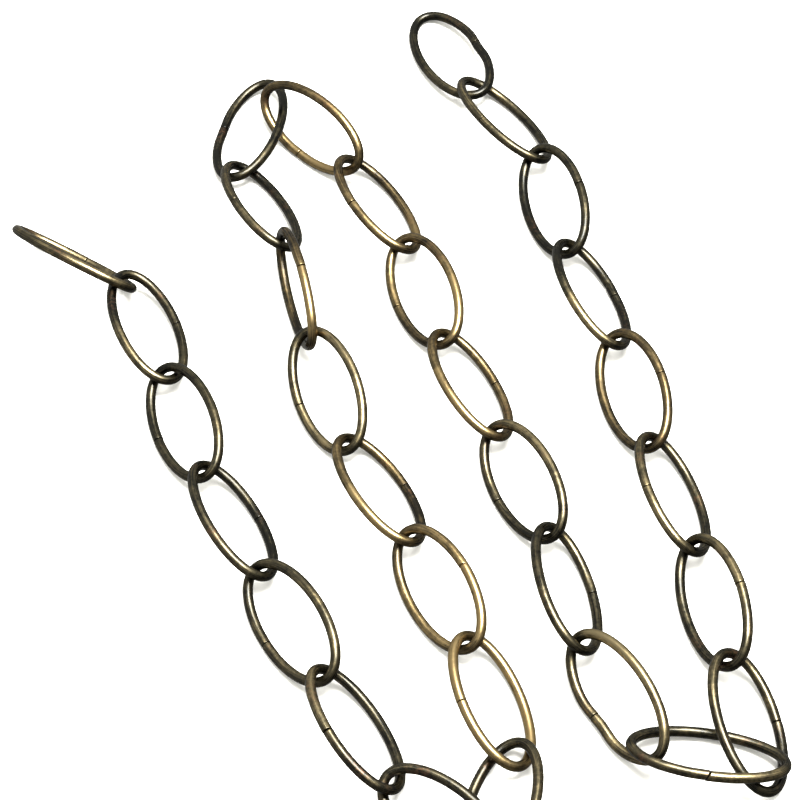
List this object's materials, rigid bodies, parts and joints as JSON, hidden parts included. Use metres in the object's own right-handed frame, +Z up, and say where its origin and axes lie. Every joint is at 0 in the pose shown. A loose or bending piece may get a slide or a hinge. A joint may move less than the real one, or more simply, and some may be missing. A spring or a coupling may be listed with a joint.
{
  "type": "chain",
  "caption": "Length of light decorative oval-link chain, butt-seamed from round wire, laid in loose rows on a flat floor.",
  "frame": {"origin": "on the floor, under the middle of the chain's bounding box", "axes": "+Z up from the floor; +Y along the long rows of links, away from the viewer; +X to the viewer's right"},
  "size_m": [0.19, 0.2697, 0.0187],
  "materials": {
    "dark_patina": "satin antique brass plating over steel wire, dark olive brown patina",
    "rubbed_brass": "the same plating rubbed back to satin brass on the raised wires"
  },
  "bodies": {
    "root": {"link_01": "dark_patina", "link_02": "dark_patina", "link_03": "dark_patina", "link_04": "dark_patina", "link_05": "rubbed_brass", "link_06": "dark_patina", "link_07": "dark_patina", "link_08": "dark_patina", "link_09": "dark_patina", "link_10": "dark_patina", "link_11": "dark_patina", "link_12": "dark_patina", "link_13": "rubbed_brass", "link_14": "rubbed_brass", "link_15": "rubbed_brass", "link_16": "rubbed_brass", "link_17": "dark_patina", "link_18": "dark_patina", "link_19": "rubbed_brass", "link_20": "dark_patina", "link_21": "rubbed_brass", "link_22": "rubbed_brass", "link_23": "rubbed_brass", "link_24": "dark_patina", "link_25": "dark_patina", "link_26": "dark_patina", "link_27": "dark_patina", "link_28": "dark_patina", "link_29": "dark_patina", "link_30": "dark_patina", "link_31": "dark_patina"}
  },
  "joints": []
}
